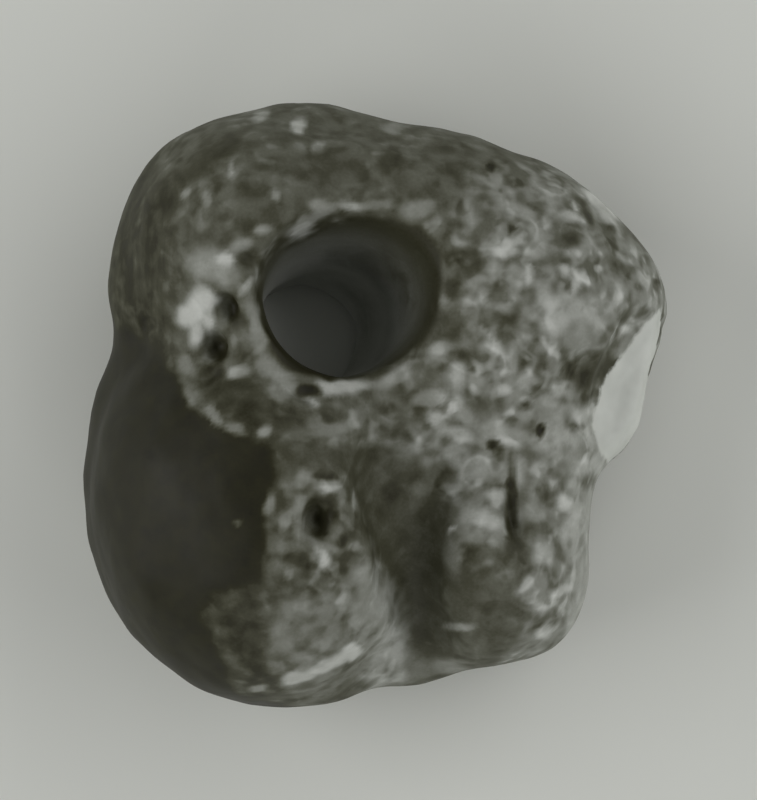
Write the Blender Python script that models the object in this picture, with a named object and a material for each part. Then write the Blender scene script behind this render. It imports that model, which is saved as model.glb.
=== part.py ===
"""A hag stone: a lumpy flint nodule with a natural hole worn right through it.

Run it with: blender --background --python part.py

The stone is one solid. It lies on the flat spot under its thickest part, with the wide mouth of the hole
looking up. Units are metres in the scene and millimetres in the lists below. +X and +Y run across the
upper face, +Z is up, and the origin is the middle of the stone's foot.
"""

import math
from typing import NamedTuple

import bmesh
import bpy
from mathutils import Matrix, Vector, noise

MM = 0.001

# The stone is fused on three grids in turn, of the lobes, of the hole's mouths and of the pits.
# After each one the skin is rounded by this many passes, so the lobes blend most and the pits least.
BODY_GRID = 1.3
BODY_ROUNDING = 34
MOUTH_GRID = 0.9
MOUTH_ROUNDING = 12
SKIN_GRID = 0.75
SKIN_ROUNDING = 4
ROUNDING_STRENGTH = 0.5
TRIANGLE_LIMIT = 9000

# Unevenness of the worn skin: (wavelength, height) of each octave.
UNEVENNESS = ((30.0, 1.3), (13.0, 0.8), (6.0, 0.35))

FLINT_COLOUR = (0.085, 0.084, 0.072, 1.0)
FLINT_ROUGHNESS = 0.55

UP = Vector((0.0, 0.0, 1.0))
DOWN = -UP
RAY_START = 120.0

# The level of the lobes' heights at which the stone is cut flat, and the size of the block that cuts it.
GROUND_LEVEL = 3.6
GROUND_SIZE = (300.0, 300.0, 30.0)


class Lobe(NamedTuple):
    """One rounded mass of the nodule: centre, half sizes, and its turn about the vertical."""

    name: str
    centre: tuple
    radii: tuple
    turn: float = 0.0


class Relief(NamedTuple):
    """A pit, groove or swelling: where it is on the face, its full size along and across, and its depth."""

    name: str
    x: float
    y: float
    along: float
    across: float
    turn: float
    depth: float
    side: Vector = UP


class Ring(NamedTuple):
    """One level of the hole: its centre and its half sizes."""

    centre: tuple
    radii: tuple


LOBES = (
    Lobe("core", (2.0, 4.0, 22.0), (28.0, 28.0, 20.0)),
    Lobe("head_left", (-15.9, 21.8, 27.5), (24.6, 24.6, 25.0)),
    Lobe("head_left_side", (-12.0, 19.1, 25.0), (31.2, 28.9, 19.0), -10.0),
    Lobe("head_bridge", (5.4, 21.4, 25.0), (29.4, 23.6, 22.0), -11.0),
    Lobe("head_right", (17.6, 14.8, 24.5), (25.2, 25.2, 22.0)),
    Lobe("brow_end", (24.2, 26.8, 22.0), (10.8, 12.4, 14.0)),
    Lobe("shoulder", (31.0, 14.8, 22.0), (15.8, 16.0, 17.5)),
    Lobe("jowl", (32.5, 0.9, 20.0), (11.0, 11.8, 15.0)),
    Lobe("plateau", (19.0, -4.0, 22.5), (16.0, 22.0, 20.0), 8.0),
    Lobe("foot_left", (-17.8, -15.0, 29.2), (26.8, 31.8, 26.6)),
    Lobe("foot_heel", (-8.5, -34.4, 21.0), (15.0, 13.6, 13.0)),
    Lobe("foot_left_side", (-12.7, -8.4, 22.0), (33.9, 39.8, 17.0), -13.0),
    Lobe("foot_right", (17.0, -22.0, 23.5), (15.8, 19.6, 20.5)),
    Lobe("foot_corner", (20.0, -26.8, 20.0), (14.4, 14.5, 17.0)),
    Lobe("foot_web", (4.6, -30.8, 16.0), (19.2, 15.0, 12.0), 14.0),
    Lobe("flank", (24.8, -14.0, 21.0), (9.8, 15.5, 18.0), 4.0),
)

# The swollen collar round the wide mouth of the hole.
LIP_CENTRE = (-4.2, 16.3, 37.6)
LIP_RADIUS = 19.5
LIP_THICKNESS = 7.0
LIP_BEADS = 28

# The hole leans left and down the face as it goes in, so only its shaded walls are seen from above.
# Its mouth flares towards the upper right and stays steep at the lower left.
HOLE = (
    Ring((-2.7, 18.2, 58.0), (18.9, 17.6)),
    Ring((-3.4, 17.4, 50.0), (14.8, 13.8)),
    Ring((-4.2, 16.7, 45.0), (13.2, 12.3)),
    Ring((-5.6, 15.6, 36.0), (12.0, 11.4)),
    Ring((-8.8, 13.3, 22.0), (10.0, 9.6)),
    Ring((-12.2, 11.1, 10.0), (9.2, 8.8)),
    Ring((-14.0, 10.0, 3.0), (10.6, 9.8)),
    Ring((-15.2, 9.2, -6.0), (14.5, 13.0)),
)
HOLE_SIDES = 64

# The hole isn't quite round: its radius swings by this share, with one bulge wider than the other.
UNROUND = 0.04
BULGE_ANGLE = 0.6
WIDER_ANGLE = 0.4

# Worn hollows, which blend into the lobes: the valley between the two feet, and the dips of the back.
WORN_HOLLOWS = (
    Relief("valley_head", 1.6, -11.4, 19.0, 17.0, -60.0, 6.8),
    Relief("valley_middle", 5.0, -23.0, 24.0, 15.0, -74.0, 6.0),
    Relief("valley_foot", 7.5, -34.0, 15.0, 12.0, -84.0, 4.5),
    Relief("scar_hollow", 32.2, 5.8, 12.0, 10.0, 20.0, 3.4),
    Relief("left_notch", -38.5, 11.2, 10.0, 4.6, -8.0, 1.8),
    Relief("shoulder_crease", 35.6, 29.0, 12.0, 4.4, -52.0, 2.6),
    Relief("back_groove", 9.0, -8.0, 30.0, 9.0, 110.0, 3.0, DOWN),
    Relief("back_dimple", 27.0, 14.0, 12.0, 9.0, 30.0, 3.0, DOWN),
)

PITS = (
    Relief("chip_scar", 38.8, 4.8, 27.0, 12.5, 70.0, 3.2),
    Relief("lip_pit", -19.6, 23.0, 4.6, 3.6, -10.0, 3.0),
    Relief("tall_pit", -22.9, 14.8, 6.2, 3.6, 100.0, 3.8),
    Relief("round_pit", -25.0, 9.2, 5.2, 4.6, 80.0, 3.8),
    Relief("lower_pit", -25.4, 4.6, 3.8, 3.2, 70.0, 1.8),
    Relief("eye_pit", -8.7, -17.1, 7.0, 4.6, 95.0, 4.6),
    Relief("slot", 21.4, -16.4, 12.4, 3.0, 96.0, 3.2),
    Relief("rim_gap", -10.8, 2.2, 5.4, 3.2, -10.0, 2.0),
    Relief("back_pit", -27.0, -20.0, 4.6, 3.6, 20.0, 2.4, DOWN),
    Relief("back_small_pit", 13.0, 28.0, 3.4, 2.6, 70.0, 1.8, DOWN),
)


def clear_scene():
    """Removes what the file opened with."""
    for thing in list(bpy.data.objects):
        bpy.data.objects.remove(thing, do_unlink=True)


def new_object(name, shape):
    """Links a new object that holds a bmesh, and frees the bmesh."""
    bmesh.ops.recalc_face_normals(shape, faces=shape.faces)
    mesh = bpy.data.meshes.new(name)
    shape.to_mesh(mesh)
    shape.free()
    made = bpy.data.objects.new(name, mesh)
    bpy.context.scene.collection.objects.link(made)
    return made


def apply_modifiers(thing):
    """Replaces an object's mesh with what its modifiers make of it."""
    graph = bpy.context.evaluated_depsgraph_get()
    graph.update()
    made = bpy.data.meshes.new_from_object(thing.evaluated_get(graph))
    thing.modifiers.clear()
    old, thing.data = thing.data, made
    bpy.data.meshes.remove(old)


def add_ellipsoid(shape, centre, radii, turn=None, subdivisions=4):
    """Adds a closed ellipsoid, in millimetres, to a bmesh."""
    sizes = Matrix.Diagonal((*[r * MM for r in radii], 1.0))
    place = Matrix.Translation(Vector(centre) * MM)
    facing = Matrix.Identity(4) if turn is None else turn
    bmesh.ops.create_icosphere(
        shape,
        subdivisions=subdivisions,
        radius=1.0,
        matrix=place @ facing @ sizes,
    )


def add_lip(shape):
    """Adds the ring of swollen skin that surrounds the mouth, as a chain of overlapping balls."""
    for bead in range(LIP_BEADS):
        angle = math.tau * bead / LIP_BEADS
        around = Vector((math.cos(angle), math.sin(angle), 0.0)) * LIP_RADIUS
        add_ellipsoid(shape, Vector(LIP_CENTRE) + around, (LIP_THICKNESS,) * 3, subdivisions=2)


def fuse(thing, grid):
    """Grows together what overlaps in an object, on a grid of cubes."""
    step = thing.modifiers.new("fuse", "REMESH")
    step.mode = "VOXEL"
    step.voxel_size = grid * MM
    step.adaptivity = 0.0
    apply_modifiers(thing)


def soften(thing, repeats):
    """Rounds an object's edges and creases."""
    step = thing.modifiers.new("soften", "SMOOTH")
    step.factor = ROUNDING_STRENGTH
    step.iterations = repeats
    apply_modifiers(thing)


def fused_lobes():
    """The nodule's body: every lobe and the lip, grown together into one skin with its worn hollows."""
    shape = bmesh.new()
    for lobe in LOBES:
        add_ellipsoid(shape, lobe.centre, lobe.radii, Matrix.Rotation(math.radians(lobe.turn), 4, "Z"))
    add_lip(shape)
    body = new_object("hag_stone", shape)
    fuse(body, BODY_GRID)
    combine(body, relief_tools(body, WORN_HOLLOWS), "DIFFERENCE")
    soften(body, BODY_ROUNDING)
    return body


def make_uneven(body):
    """Moves the skin in and out a little, in slow swells and then in smaller ones."""
    normals = [point.normal.copy() for point in body.data.vertices]
    for point, normal in zip(body.data.vertices, normals):
        rise = 0.0
        for wavelength, height in UNEVENNESS:
            place = point.co / (wavelength * MM)
            rise += height * noise.noise(place, noise_basis="PERLIN_ORIGINAL")
        point.co += normal * rise * MM


def surface_frame(body, relief):
    """The matrix that puts Z along the skin's normal at a relief's place, and X along its length."""
    start = Vector((relief.x, relief.y, 0.0)) * MM + relief.side * RAY_START * MM
    found, place, normal, _ = body.ray_cast(start, -relief.side)
    if not found:
        raise ValueError(f"{relief.name} is not over the stone")
    angle = math.radians(relief.turn)
    wanted = Vector((math.cos(angle), math.sin(angle), 0.0))
    along = (wanted - normal * wanted.dot(normal)).normalized()
    across = normal.cross(along)
    turn = Matrix((along, across, normal)).transposed().to_4x4()
    return place / MM, turn


def relief_tools(body, reliefs):
    """Ellipsoids half sunk in the skin, one object for each relief."""
    tools = []
    for relief in reliefs:
        place, turn = surface_frame(body, relief)
        radii = (relief.along / 2.0, relief.across / 2.0, relief.depth)
        shape = bmesh.new()
        add_ellipsoid(shape, place, radii, turn, subdivisions=3)
        tools.append(new_object(relief.name, shape))
    return tools


def hole_tool():
    """The closed shape of the hole, lofted through its rings and capped at both ends."""
    shape = bmesh.new()
    loops = []
    for ring in HOLE:
        loop = []
        for side in range(HOLE_SIDES):
            angle = math.tau * side / HOLE_SIDES
            reach = 1.0 + UNROUND * math.sin(2.0 * angle + BULGE_ANGLE) * math.cos(angle - WIDER_ANGLE)
            x = ring.centre[0] + ring.radii[0] * reach * math.cos(angle)
            y = ring.centre[1] + ring.radii[1] * reach * math.sin(angle)
            loop.append(shape.verts.new(Vector((x, y, ring.centre[2])) * MM))
        loops.append(loop)
    for lower, upper in zip(loops, loops[1:]):
        for side in range(HOLE_SIDES):
            after = (side + 1) % HOLE_SIDES
            shape.faces.new((lower[side], lower[after], upper[after], upper[side]))
    shape.faces.new(loops[0])
    shape.faces.new(loops[-1])
    return new_object("hole_tool", shape)


def ground_tool():
    """A block whose top is the level that the stone lies on."""
    shape = bmesh.new()
    size = Matrix.Diagonal((*[length * MM for length in GROUND_SIZE], 1.0))
    middle = UP * (GROUND_LEVEL - GROUND_SIZE[2] / 2.0)
    bmesh.ops.create_cube(shape, size=1.0, matrix=Matrix.Translation(middle * MM) @ size)
    return new_object("ground_tool", shape)


def combine(body, tools, operation):
    """Cuts tools from the body or joins them to it, then removes the tools."""
    for tool in tools:
        step = body.modifiers.new(tool.name, "BOOLEAN")
        step.operation = operation
        step.object = tool
        step.solver = "EXACT"
    apply_modifiers(body)
    for tool in tools:
        bpy.data.objects.remove(tool, do_unlink=True)


def bore(body):
    """Opens the hole and wears its two mouths round."""
    combine(body, [hole_tool()], "DIFFERENCE")
    fuse(body, MOUTH_GRID)
    soften(body, MOUTH_ROUNDING)


def pit(body):
    """Gives the skin its pits and the chip, and takes the edge off them."""
    combine(body, relief_tools(body, PITS), "DIFFERENCE")
    fuse(body, SKIN_GRID)
    soften(body, SKIN_ROUNDING)


def lighten(body):
    """Thins the mesh to the triangle limit. Pits and rims keep more of it than the smooth skin."""
    body.data.calc_loop_triangles()
    thin = body.modifiers.new("thin", "DECIMATE")
    thin.ratio = TRIANGLE_LIMIT / len(body.data.loop_triangles)
    thin.use_collapse_triangulate = True
    apply_modifiers(body)


def centre_on_foot(body):
    """Moves the mesh so that the origin is under the middle of the stone, on the ground."""
    points = [point.co for point in body.data.vertices]
    middle_x = (min(p.x for p in points) + max(p.x for p in points)) / 2.0
    middle_y = (min(p.y for p in points) + max(p.y for p in points)) / 2.0
    body.data.transform(Matrix.Translation((-middle_x, -middle_y, -GROUND_LEVEL * MM)))


def flint_material():
    """Weathered flint: dark grey, neither glossy nor chalky."""
    flint = bpy.data.materials.new("flint")
    flint.use_nodes = True
    shader = flint.node_tree.nodes["Principled BSDF"]
    shader.inputs["Base Color"].default_value = FLINT_COLOUR
    shader.inputs["Roughness"].default_value = FLINT_ROUGHNESS
    shader.inputs["Metallic"].default_value = 0.0
    flint.diffuse_color = FLINT_COLOUR
    return flint


def main():
    """Builds the stone."""
    clear_scene()
    stone = fused_lobes()
    bore(stone)
    make_uneven(stone)
    pit(stone)
    lighten(stone)
    combine(stone, [ground_tool()], "DIFFERENCE")
    centre_on_foot(stone)
    stone.data.materials.clear()
    stone.data.materials.append(flint_material())
    stone.data.shade_smooth()


main()
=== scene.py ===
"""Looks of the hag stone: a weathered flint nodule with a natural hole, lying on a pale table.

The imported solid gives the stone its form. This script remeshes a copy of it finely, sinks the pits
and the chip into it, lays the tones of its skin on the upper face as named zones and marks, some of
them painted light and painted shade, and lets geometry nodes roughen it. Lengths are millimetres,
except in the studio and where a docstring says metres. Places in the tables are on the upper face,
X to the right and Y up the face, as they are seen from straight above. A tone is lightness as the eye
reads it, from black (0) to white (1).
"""

import logging
import math
from collections.abc import Mapping, Sequence
from dataclasses import dataclass, field
from typing import Any

import bmesh
import bpy
import numpy as np
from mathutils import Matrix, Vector, noise


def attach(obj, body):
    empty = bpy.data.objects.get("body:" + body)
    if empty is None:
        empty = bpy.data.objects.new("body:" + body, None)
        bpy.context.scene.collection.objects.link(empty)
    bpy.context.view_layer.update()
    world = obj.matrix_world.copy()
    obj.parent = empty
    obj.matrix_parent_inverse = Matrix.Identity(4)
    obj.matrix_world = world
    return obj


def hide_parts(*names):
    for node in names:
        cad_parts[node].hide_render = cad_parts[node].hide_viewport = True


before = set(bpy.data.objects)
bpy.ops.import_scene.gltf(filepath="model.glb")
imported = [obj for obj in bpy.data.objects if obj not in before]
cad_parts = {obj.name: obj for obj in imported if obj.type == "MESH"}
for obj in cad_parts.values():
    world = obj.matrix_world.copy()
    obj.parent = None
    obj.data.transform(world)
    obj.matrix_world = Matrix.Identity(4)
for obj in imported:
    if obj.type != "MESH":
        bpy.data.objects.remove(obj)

logging.basicConfig(level=logging.INFO, format="%(name)s: %(message)s")
log = logging.getLogger("hag_stone")

MM = 0.001
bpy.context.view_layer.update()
# The eye that sees the places, and the height at which a place is true.
EYE = (0.47, 0.94, 775.0)
MID_HEIGHT = 25.0

MATH = "ShaderNodeMath"
VECTOR_MATH = "ShaderNodeVectorMath"
NOISE = "ShaderNodeTexNoise"
SWITCH = "ShaderNodeMapRange"
MIX = "ShaderNodeMix"

Point = tuple[float, float]
# Where a soft switch is off and where it is on.
Span = tuple[float, float]
Tree = bpy.types.NodeTree
Socket = bpy.types.NodeSocket


def linear(code: str) -> tuple[float, float, float, float]:
    """Turns an sRGB hex colour to the linear colour that a shader takes.

    Args:
        code: The colour as "#RRGGBB".

    Returns:
        Linear red, green and blue, and an alpha of one.
    """
    channels = [int(code[i : i + 2], 16) / 255.0 for i in (1, 3, 5)]
    turned = [c / 12.92 if c <= 0.04045 else ((c + 0.055) / 1.055) ** 2.4 for c in channels]
    return turned[0], turned[1], turned[2], 1.0


def add_node(
    tree: Tree,
    kind: str,
    inputs: Mapping[Any, Any] | Sequence[Any] = (),
    out: int | str = 0,
    **settings: Any,
) -> Socket | None:
    """Adds a node with its settings and its links, and hands back one of its outputs.

    Args:
        tree: The tree that gets the node.
        kind: The node's Blender type.
        inputs: What its inputs get, by name or in their order. A socket is linked and a value is set.
        out: The name or the number of the output that is wanted.
        settings: The node's own properties.

    Returns:
        The wanted output, or nothing from a node that ends its tree.
    """
    made = tree.nodes.new(kind)
    for name, value in settings.items():
        setattr(made, name, value)
    for place, value in inputs.items() if isinstance(inputs, Mapping) else enumerate(inputs):
        if isinstance(value, Socket):
            tree.links.new(value, made.inputs[place])
        else:
            made.inputs[place].default_value = value
    return made.outputs[out] if len(made.outputs) else None


def smooth_step(low: float, high: float, values: np.ndarray) -> np.ndarray:
    """A soft switch from 0 at low to 1 at high."""
    t = np.clip((values - low) / (high - low), 0.0, 1.0)
    return t * t * (3.0 - 2.0 * t)


def signed_distance(places: np.ndarray, outline: Sequence[Point]) -> np.ndarray:
    """The distance from each place to an outline.

    Args:
        places: Places on the face, one a row.
        outline: The corners of a closed outline.

    Returns:
        The distances, above zero inside the outline and below it outside.
    """
    nearest = np.full(len(places), np.inf)
    inside = np.zeros(len(places), bool)
    corners = np.array(outline)
    for start, end in zip(corners, np.roll(corners, -1, axis=0)):
        side = end - start
        share = np.clip(((places - start) @ side) / (side @ side), 0.0, 1.0)
        gap = places - start - share[:, None] * side
        nearest = np.minimum(nearest, np.hypot(gap[:, 0], gap[:, 1]))
        level = (start[1] > places[:, 1]) != (end[1] > places[:, 1])
        rise = side[1] if side[1] else 1.0
        crossing_x = start[0] + (places[:, 1] - start[1]) / rise * side[0]
        inside ^= level & (places[:, 0] < crossing_x)
    return np.where(inside, nearest, -nearest)


@dataclass(frozen=True)
class Drift:
    """Smooth noise over the stone: its width, a shift that sets it apart from the others, and its gain."""

    width: float
    shift: float
    gain: float = 1.0

    def at(self, points: np.ndarray) -> np.ndarray:
        """The noise at some points.

        Args:
            points: The points, one a row, in metres.

        Returns:
            One number for each point, from about minus the gain to the gain.
        """
        rate = 1.0 / (self.width * MM)
        offset = Vector((self.shift, -self.shift, self.shift))
        return self.gain * np.array([noise.noise(Vector(point) * rate + offset) for point in points])


@dataclass(frozen=True)
class Zone:
    """A stretch of skin inside an outline: its tone, how mottled and streaked it is, and its soft edge."""

    tone: float
    flecks: float
    edge: float
    outline: tuple[Point, ...]
    streaks: float = 0.0

    def cover(self, places: np.ndarray) -> np.ndarray:
        """How far into the zone each place is, from 0 outside to 1 inside its soft edge."""
        return smooth_step(-self.edge, self.edge, signed_distance(places, self.outline))


@dataclass(frozen=True)
class Spot:
    """An ellipse: its middle, its length and width, and its turn in degrees."""

    x: float
    y: float
    length: float
    width: float
    turn: float

    def reach(self, places: np.ndarray) -> np.ndarray:
        """How far each place is from the middle.

        Args:
            places: Places in the ellipse's plane, one a row.

        Returns:
            The distances, counted in the ellipse's own half sizes, so that 1 is on its edge.
        """
        angle = math.radians(self.turn)
        gap = places - np.array((self.x, self.y))
        along = gap[:, 0] * math.cos(angle) + gap[:, 1] * math.sin(angle)
        aside = gap[:, 1] * math.cos(angle) - gap[:, 0] * math.sin(angle)
        return np.hypot(along / (self.length / 2.0), aside / (self.width / 2.0))

    def cover(self, places: np.ndarray, span: Span) -> np.ndarray:
        """How strongly the spot covers each place, from 0 at the span's first reach to 1 at its second."""
        return smooth_step(*span, self.reach(places))


@dataclass(frozen=True)
class Mark(Spot):
    """A small pale or dark spot with its tone."""

    tone: float


@dataclass(frozen=True)
class Pit(Spot):
    """A hollow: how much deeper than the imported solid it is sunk, and its share of the full wear."""

    depth: float
    wear: float = 0.0


# The stretches of skin, from the first laid to the last. Some are painted light and some painted shade.
ZONES_OF_SKIN_AND_PAINTED_LIGHT: Mapping[str, Zone] = {
    "brow": Zone(tone=0.305, flecks=0.4, edge=2.5, outline=(
        (-44.0, 16.5), (-40.0, 32.5), (-27.5, 48.0), (-7.0, 50.5), (19.5, 43.5), (37.0, 35.5),
        (29.0, 34.0), (19.5, 34.0), (10.0, 30.0), (4.0, 30.0), (-12.0, 32.5), (-21.5, 27.5),
        (-29.0, 23.0), (-35.5, 16.5),
    )),
    # Dark streaked skin on the left edge, partly painted shade on the side away from the light.
    "streaked_shaded_edge": Zone(tone=0.22, flecks=0.35, edge=3.0, streaks=1.0, outline=(
        (-45.0, 16.5), (-43.0, 30.5), (-37.0, 38.0), (-32.0, 34.0), (-31.5, 24.5), (-33.0, 16.5),
        (-34.0, 9.5), (-43.0, 9.5),
    )),
    "mottled_shoulder": Zone(tone=0.435, flecks=1.0, edge=2.2, outline=(
        (9.0, 28.0), (15.0, 34.0), (22.5, 38.5), (33.5, 34.0), (42.5, 26.0), (49.5, 16.5),
        (49.5, 9.5), (44.5, -5.5), (37.0, -11.0), (35.0, -18.0), (34.5, -24.0), (22.5, -22.0),
        (15.0, -16.5), (8.5, -11.5), (1.5, -6.0), (0.5, -1.5), (4.0, 3.5), (10.0, 9.5),
        (11.0, 16.5), (12.5, 23.0),
    )),
    "shaded_by_the_hole": Zone(tone=0.31, flecks=0.8, edge=1.5, outline=(
        (8.0, 30.5), (14.5, 29.0), (17.0, 22.5), (15.0, 16.5), (12.5, 10.5), (8.5, 8.5),
        (10.5, 16.5), (10.0, 23.5),
    )),
    "collar": Zone(tone=0.335, flecks=0.6, edge=1.2, outline=(
        (-26.5, 18.0), (-22.0, 16.5), (-18.5, 9.5), (-12.0, 4.0), (-4.0, 4.0), (4.0, 6.5),
        (11.0, 9.0), (11.5, 1.0), (4.5, -5.5), (-4.0, -6.0), (-12.0, -3.5), (-19.5, 0.5),
        (-27.5, 5.5),
    )),
    "under_the_pits": Zone(tone=0.24, flecks=0.4, edge=1.0, outline=(
        (-28.0, 5.5), (-21.5, 4.0), (-13.0, 0.5), (-11.5, -3.0), (-18.0, -5.5), (-25.0, -1.5),
    )),
    "smooth_skin": Zone(tone=0.14, flecks=0.18, edge=1.0, outline=(
        (-52.5, 12.0), (-40.5, 12.0), (-34.0, 9.5), (-30.5, 3.5), (-28.0, -1.5), (-21.5, -4.0),
        (-16.0, -6.5), (-15.0, -10.0), (-17.0, -14.5), (-17.5, -24.0), (-18.5, -28.5),
        (-25.0, -29.0), (-26.5, -33.0), (-25.0, -39.0), (-21.5, -45.0), (-12.0, -48.0),
        (-12.0, -52.5), (-52.5, -52.5),
    )),
    # Dark skin down the valley, partly painted shade on the wall that faces away from the light.
    "shaded_valley": Zone(tone=0.26, flecks=0.2, edge=1.5, outline=(
        (-16.0, -6.5), (4.0, -6.5), (8.0, -10.0), (10.5, -15.5), (13.0, -22.0), (19.5, -30.5),
        (23.0, -35.0), (21.0, -40.0), (10.0, -44.5), (5.5, -44.5), (5.0, -36.5), (3.0, -30.5),
        (0.5, -24.0), (-2.0, -18.5), (-3.5, -13.5), (-7.0, -9.5), (-15.0, -10.0),
    )),
    "lit_flank": Zone(tone=0.47, flecks=0.6, edge=2.0, outline=(
        (-4.0, -24.5), (0.5, -25.0), (3.5, -30.5), (5.0, -36.5), (6.0, -45.5), (-1.0, -45.5),
        (-3.0, -41.5), (-2.0, -36.5), (-2.5, -30.5),
    )),
    "faint_mottle": Zone(tone=0.225, flecks=0.4, edge=2.5, outline=(
        (-26.5, -30.5), (-18.0, -28.0), (-12.0, -30.5), (-12.0, -38.5), (-13.5, -46.0),
        (-19.5, -44.5), (-24.5, -39.0),
    )),
    "lower_mottle": Zone(tone=0.385, flecks=0.6, edge=2.2, outline=(
        (-17.0, -30.5), (-10.5, -29.5), (-5.0, -26.5), (-2.0, -30.5), (-2.0, -38.5),
        (-5.5, -44.5), (-12.0, -46.5), (-14.0, -44.5), (-17.0, -38.5),
    )),
    "eye_patch": Zone(tone=0.33, flecks=0.9, edge=1.0, outline=(
        (-16.0, -15.0), (-13.0, -10.5), (-7.0, -9.5), (-4.0, -13.5), (-2.5, -19.5), (-2.0, -25.5),
        (-5.5, -29.0), (-12.0, -30.5), (-16.0, -26.0),
    )),
    "right_foot": Zone(tone=0.405, flecks=0.8, edge=1.5, outline=(
        (12.5, -14.5), (19.5, -13.0), (29.0, -14.0), (37.0, -14.5), (35.0, -29.0), (31.5, -38.5),
        (23.5, -41.0), (19.0, -41.0), (22.0, -35.0), (18.0, -28.0), (13.5, -22.0),
    )),
    "foot_shade": Zone(tone=0.3, flecks=0.4, edge=1.5, outline=(
        (13.5, -22.0), (18.5, -25.0), (22.5, -31.0), (22.0, -36.5), (19.5, -40.5), (11.5, -41.5),
        (15.0, -33.5), (16.0, -29.0),
    )),
    # The foot's right edge, painted lighter where it faces the light: painted light.
    "lit_foot_edge": Zone(tone=0.52, flecks=0.3, edge=1.2, outline=(
        (32.0, -13.0), (36.0, -13.0), (35.0, -24.0), (34.5, -31.0), (31.5, -38.0), (29.0, -35.5),
        (31.0, -29.0), (32.0, -22.0),
    )),
    # A hollow by the chip, painted dark for the shade in it: painted shade.
    "shaded_hollow_by_the_chip": Zone(tone=0.265, flecks=0.5, edge=1.8, outline=(
        (29.0, 8.5), (35.0, 8.5), (37.5, 7.5), (36.0, 2.0), (32.0, 2.0), (29.0, 5.0),
    )),
}

# The edge of the fresh chip, and the edge of the painted shade inside the hole's mouth.
CHIP_OUTLINE = (
    (44.5, 15.0), (42.0, 12.5), (39.5, 9.0), (36.5, 5.0), (35.5, 3.0), (35.0, 0.5), (34.5, -0.5),
    (34.0, -3.0), (35.0, -6.5), (37.5, -10.5), (41.5, -10.5), (46.0, 1.0), (46.5, 12.0),
)
SHADE_OUTLINE = (
    (-18.5, 18.0), (-17.5, 21.5), (-15.0, 24.5), (-11.5, 25.5), (-8.5, 27.5), (-3.5, 29.5),
    (2.5, 29.5), (7.0, 28.0), (10.0, 25.0), (10.5, 19.5), (10.0, 14.5), (8.0, 10.5), (4.0, 7.5),
    (-0.5, 5.5), (-7.0, 4.0), (-12.0, 5.0), (-15.0, 7.0), (-17.0, 10.5), (-18.0, 14.0),
)

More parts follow.
